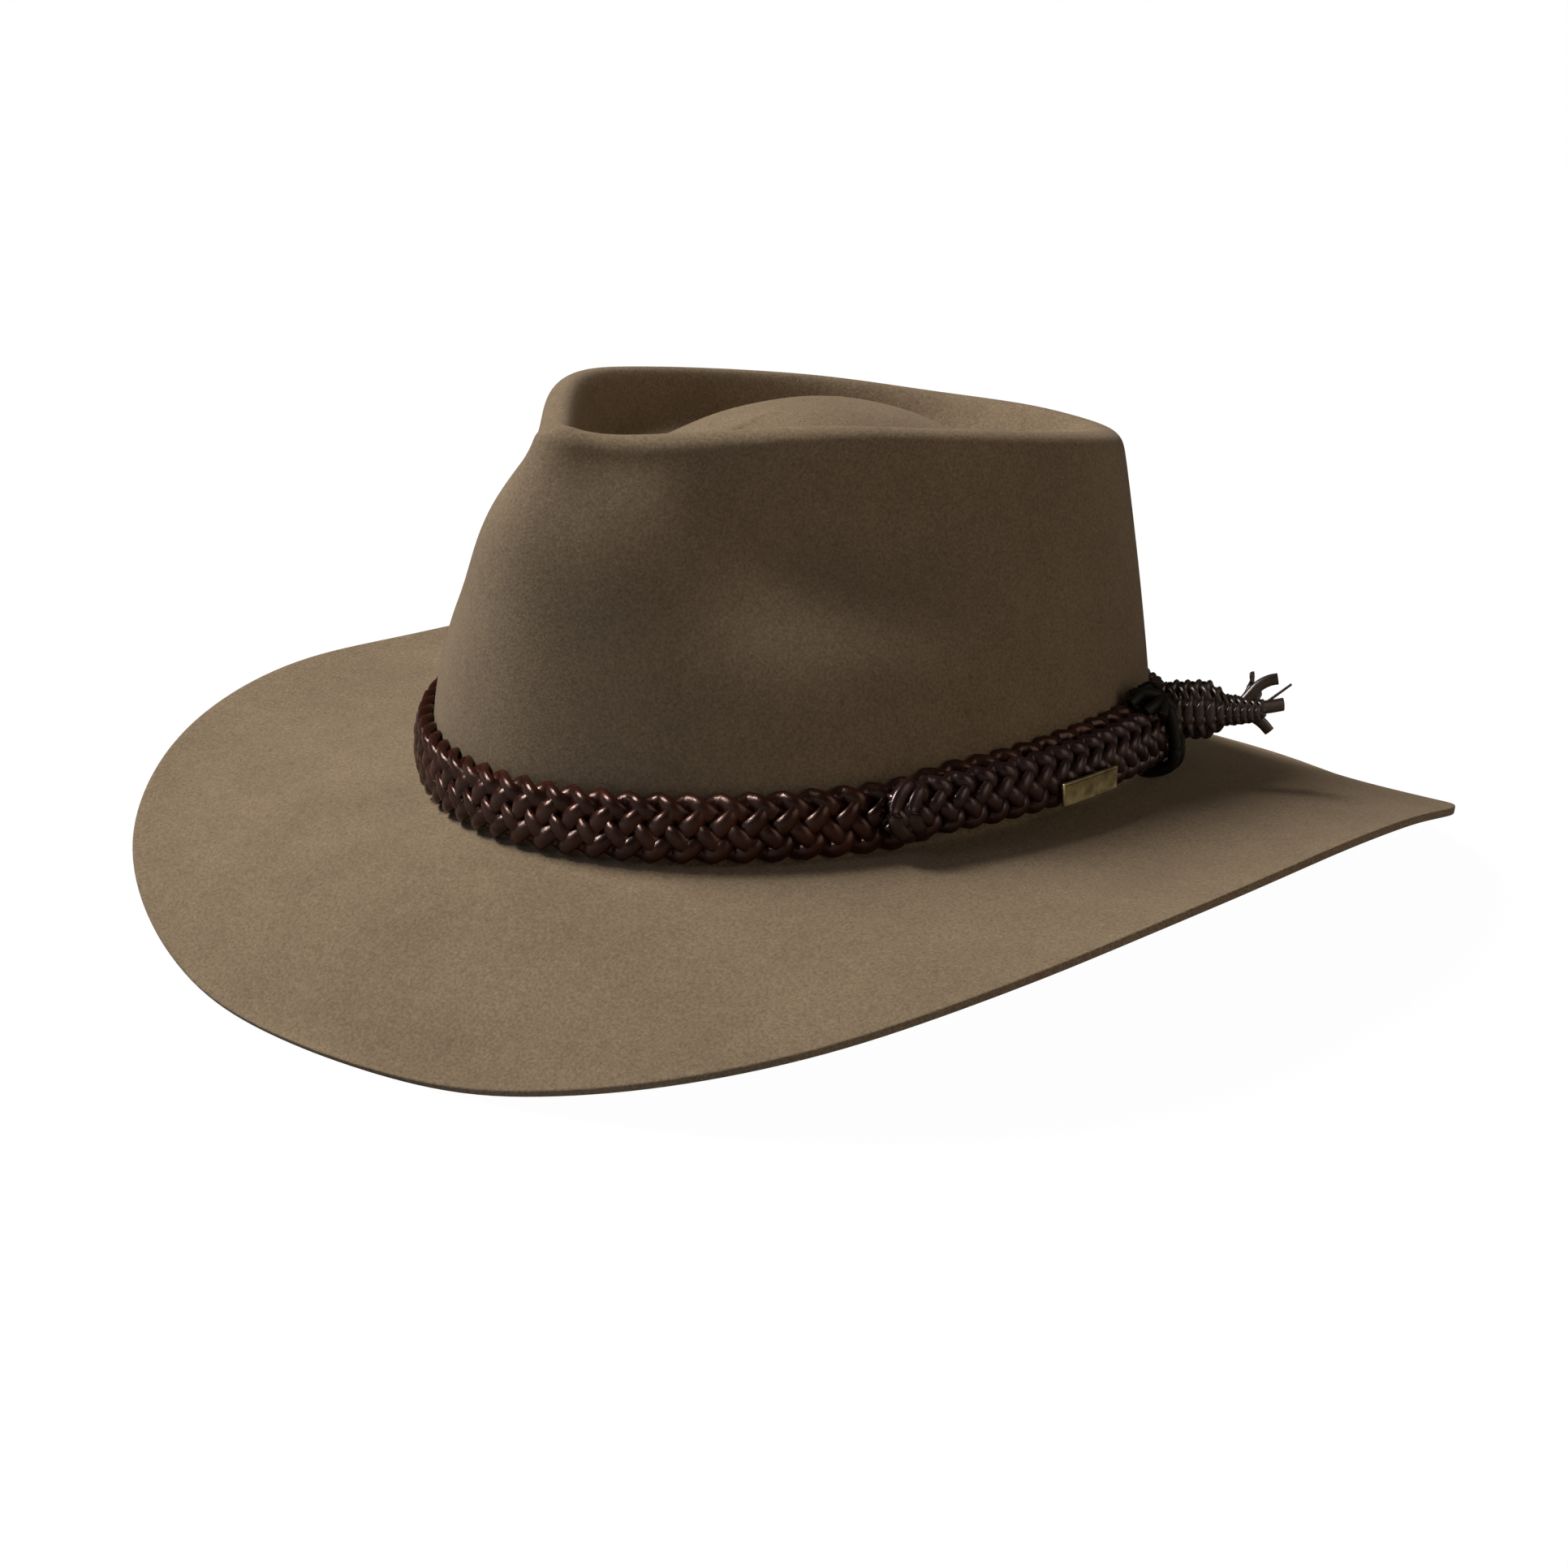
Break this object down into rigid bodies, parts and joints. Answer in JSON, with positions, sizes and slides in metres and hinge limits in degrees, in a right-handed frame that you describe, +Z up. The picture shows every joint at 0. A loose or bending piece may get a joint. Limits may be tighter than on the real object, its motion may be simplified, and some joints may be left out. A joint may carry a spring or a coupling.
{
  "type": "bush hat",
  "caption": "Wide-brimmed fur-felt bush hat: teardrop crown with two front dents, brim dipped front and back, plaited leather band tied at the side.",
  "frame": {"origin": "on the resting plane, under the middle of the brim", "axes": "the front of the hat faces -Y, the wearer's left is +X, and +Z is up through the crown"},
  "size_m": [0.3164, 0.3366, 0.1394],
  "materials": {
    "felt": "matt fur felt with a short nap",
    "plaited_leather": "waxed, semi-gloss",
    "lace": "satin",
    "plate_metal": "aged satin"
  },
  "bodies": {
    "root": {"felt_body": "felt", "band_plait": "plaited_leather", "overlap_plait": "plaited_leather", "tie_knot": "lace", "tail_plait": "plaited_leather", "band_plate": "plate_metal"}
  },
  "joints": []
}
